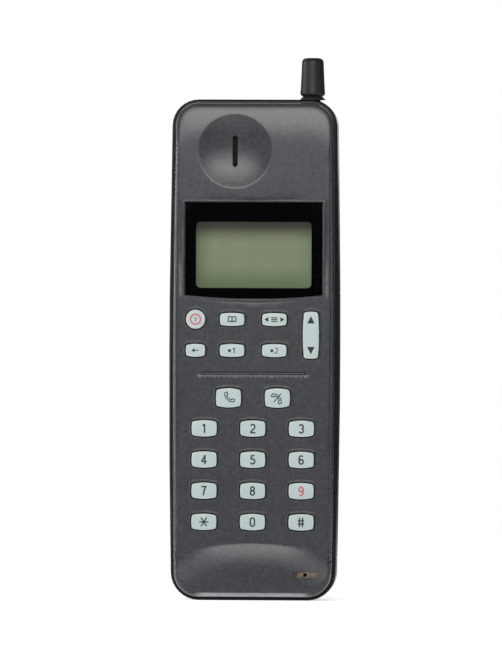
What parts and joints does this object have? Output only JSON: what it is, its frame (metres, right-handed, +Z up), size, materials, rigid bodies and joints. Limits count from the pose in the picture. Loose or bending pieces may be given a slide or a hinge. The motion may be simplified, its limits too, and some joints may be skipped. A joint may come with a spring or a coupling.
{
  "type": "handheld cellular telephone",
  "caption": "Upright candy-bar cellular telephone with a display window, sprung keys, a scroll rocker, a pull-out aerial and a swing-out battery pack.",
  "frame": {"origin": "under the middle of the body, on the surface that its foot stands on", "axes": "+Z up along the body's length, +X to the right of someone facing the keys, keys facing -Y"},
  "size_m": [0.057, 0.027, 0.1823],
  "materials": {
    "cover_grey": "fine-grained moulded plastic",
    "shell_black": "fine-grained moulded plastic",
    "latch_black": "satin",
    "window_clear": "polished clear plastic",
    "window_black": "gloss print seen through the window",
    "key_pale": "satin translucent",
    "mat_rubber": "matte silicone",
    "mesh_cloth": "woven mesh",
    "foam": "foam",
    "can_steel": "stamped",
    "black_rubber": "matte",
    "led_epoxy": "clear",
    "board_green": "solder mask",
    "shield_tin": "tinned",
    "lcd_face": "display glass with reflective back",
    "white_plastic": "moulded",
    "guide_clear": "frosted",
    "black_plastic": "moulded",
    "antenna_rubber": "matte rubber",
    "gold_spring": "plated",
    "screw_steel": "zinc",
    "holder_steel": "stamped",
    "card_white": "printed card, blank",
    "cell_sleeve": "shrink sleeve",
    "spring_steel": "drawn wire"
  },
  "bodies": {
    "case": {"front_cover": "cover_grey", "display_window": "window_clear", "window_mask": "window_black", "earpiece_screen": "mesh_cloth", "speaker_gasket": "foam", "earpiece_speaker": "can_steel", "microphone": "can_steel", "microphone_boot": "black_rubber", "keypad_mat": "mat_rubber", "key_leds": "led_epoxy", "main_board": "board_green", "logic_shield": "shield_tin", "lcd_glass": "lcd_face", "lcd_frame": "white_plastic", "lcd_light_guide": "guide_clear", "lcd_connectors": "black_rubber", "rf_board": "board_green", "rf_shield": "shield_tin", "board_connector": "white_plastic", "buzzer": "black_plastic", "antenna_bush": "black_plastic", "antenna_clip": "gold_spring", "rear_cover": "shell_black", "case_screws": "screw_steel", "power_contacts": "gold_spring", "sim_holder": "holder_steel", "sim_contacts": "gold_spring", "charge_jack": "black_plastic", "system_connector": "black_plastic"},
    "key_power": {"key_power": "key_pale"},
    "key_memory": {"key_memory": "key_pale"},
    "key_menu": {"key_menu": "key_pale"},
    "key_clear": {"key_clear": "key_pale"},
    "key_p1": {"key_p1": "key_pale"},
    "key_p2": {"key_p2": "key_pale"},
    "key_call": {"key_call": "key_pale"},
    "key_end": {"key_end": "key_pale"},
    "key_1": {"key_1": "key_pale"},
    "key_2": {"key_2": "key_pale"},
    "key_3": {"key_3": "key_pale"},
    "key_4": {"key_4": "key_pale"},
    "key_5": {"key_5": "key_pale"},
    "key_6": {"key_6": "key_pale"},
    "key_7": {"key_7": "key_pale"},
    "key_8": {"key_8": "key_pale"},
    "key_9": {"key_9": "key_pale"},
    "key_star": {"key_star": "key_pale"},
    "key_0": {"key_0": "key_pale"},
    "key_hash": {"key_hash": "key_pale"},
    "scroll": {"key_scroll": "key_pale"},
    "antenna": {"antenna_cap": "antenna_rubber", "antenna_rod": "antenna_rubber"},
    "battery": {"battery_tray": "shell_black", "battery_cover": "shell_black", "battery_cells": "cell_sleeve", "battery_contacts": "gold_spring", "latch_spring": "spring_steel"},
    "latch": {"battery_latch": "latch_black"},
    "sim": {"sim_card": "card_white"}
  },
  "joints": [
    {"name": "press_power", "type": "slide", "parent": "case", "child": "key_power", "axis": [0, 1, 0], "range_m": [0, 0.0006], "stiffness_N_per_m": 1500, "springref_m": -0.0004, "deforming": ["keypad_mat"]},
    {"name": "press_memory", "type": "slide", "parent": "case", "child": "key_memory", "axis": [0, 1, 0], "range_m": [0, 0.0006], "stiffness_N_per_m": 1500, "springref_m": -0.0004, "deforming": ["keypad_mat"]},
    {"name": "press_menu", "type": "slide", "parent": "case", "child": "key_menu", "axis": [0, 1, 0], "range_m": [0, 0.0006], "stiffness_N_per_m": 1500, "springref_m": -0.0004, "deforming": ["keypad_mat"]},
    {"name": "press_clear", "type": "slide", "parent": "case", "child": "key_clear", "axis": [0, 1, 0], "range_m": [0, 0.0006], "stiffness_N_per_m": 1500, "springref_m": -0.0004, "deforming": ["keypad_mat"]},
    {"name": "press_p1", "type": "slide", "parent": "case", "child": "key_p1", "axis": [0, 1, 0], "range_m": [0, 0.0006], "stiffness_N_per_m": 1500, "springref_m": -0.0004, "deforming": ["keypad_mat"]},
    {"name": "press_p2", "type": "slide", "parent": "case", "child": "key_p2", "axis": [0, 1, 0], "range_m": [0, 0.0006], "stiffness_N_per_m": 1500, "springref_m": -0.0004, "deforming": ["keypad_mat"]},
    {"name": "press_call", "type": "slide", "parent": "case", "child": "key_call", "axis": [0, 1, 0], "range_m": [0, 0.0006], "stiffness_N_per_m": 1500, "springref_m": -0.0004, "deforming": ["keypad_mat"]},
    {"name": "press_end", "type": "slide", "parent": "case", "child": "key_end", "axis": [0, 1, 0], "range_m": [0, 0.0006], "stiffness_N_per_m": 1500, "springref_m": -0.0004, "deforming": ["keypad_mat"]},
    {"name": "press_1", "type": "slide", "parent": "case", "child": "key_1", "axis": [0, 1, 0], "range_m": [0, 0.0006], "stiffness_N_per_m": 1500, "springref_m": -0.0004, "deforming": ["keypad_mat"]},
    {"name": "press_2", "type": "slide", "parent": "case", "child": "key_2", "axis": [0, 1, 0], "range_m": [0, 0.0006], "stiffness_N_per_m": 1500, "springref_m": -0.0004, "deforming": ["keypad_mat"]},
    {"name": "press_3", "type": "slide", "parent": "case", "child": "key_3", "axis": [0, 1, 0], "range_m": [0, 0.0006], "stiffness_N_per_m": 1500, "springref_m": -0.0004, "deforming": ["keypad_mat"]},
    {"name": "press_4", "type": "slide", "parent": "case", "child": "key_4", "axis": [0, 1, 0], "range_m": [0, 0.0006], "stiffness_N_per_m": 1500, "springref_m": -0.0004, "deforming": ["keypad_mat"]},
    {"name": "press_5", "type": "slide", "parent": "case", "child": "key_5", "axis": [0, 1, 0], "range_m": [0, 0.0006], "stiffness_N_per_m": 1500, "springref_m": -0.0004, "deforming": ["keypad_mat"]},
    {"name": "press_6", "type": "slide", "parent": "case", "child": "key_6", "axis": [0, 1, 0], "range_m": [0, 0.0006], "stiffness_N_per_m": 1500, "springref_m": -0.0004, "deforming": ["keypad_mat"]},
    {"name": "press_7", "type": "slide", "parent": "case", "child": "key_7", "axis": [0, 1, 0], "range_m": [0, 0.0006], "stiffness_N_per_m": 1500, "springref_m": -0.0004, "deforming": ["keypad_mat"]},
    {"name": "press_8", "type": "slide", "parent": "case", "child": "key_8", "axis": [0, 1, 0], "range_m": [0, 0.0006], "stiffness_N_per_m": 1500, "springref_m": -0.0004, "deforming": ["keypad_mat"]},
    {"name": "press_9", "type": "slide", "parent": "case", "child": "key_9", "axis": [0, 1, 0], "range_m": [0, 0.0006], "stiffness_N_per_m": 1500, "springref_m": -0.0004, "deforming": ["keypad_mat"]},
    {"name": "press_star", "type": "slide", "parent": "case", "child": "key_star", "axis": [0, 1, 0], "range_m": [0, 0.0006], "stiffness_N_per_m": 1500, "springref_m": -0.0004, "deforming": ["keypad_mat"]},
    {"name": "press_0", "type": "slide", "parent": "case", "child": "key_0", "axis": [0, 1, 0], "range_m": [0, 0.0006], "stiffness_N_per_m": 1500, "springref_m": -0.0004, "deforming": ["keypad_mat"]},
    {"name": "press_hash", "type": "slide", "parent": "case", "child": "key_hash", "axis": [0, 1, 0], "range_m": [0, 0.0006], "stiffness_N_per_m": 1500, "springref_m": -0.0004, "deforming": ["keypad_mat"]},
    {"name": "scroll_rock", "type": "hinge", "parent": "case", "child": "scroll", "pos_m": [0.01935, -0.0097, 0.0891], "axis": [1, 0, 0], "range_deg": [-3.5, 3.5], "stiffness_Nm_per_rad": 0.35, "deforming": ["keypad_mat"]},
    {"name": "antenna_pull", "type": "slide", "parent": "case", "child": "antenna", "axis": [0, 0, 1], "range_m": [0, 0.095]},
    {"name": "battery_swing", "type": "hinge", "parent": "case", "child": "battery", "pos_m": [0, 0.0115, 0.0163], "axis": [-1, 0, 0], "range_deg": [0, 20]},
    {"name": "latch_slide", "type": "slide", "parent": "battery", "child": "latch", "axis": [0, 0, -1], "range_m": [0, 0.0025], "stiffness_N_per_m": 400, "springref_m": -0.001, "deforming": ["latch_spring"]},
    {"name": "sim_slide", "type": "slide", "parent": "case", "child": "sim", "axis": [0, 0, -1], "range_m": [0, 0.012]}
  ]
}
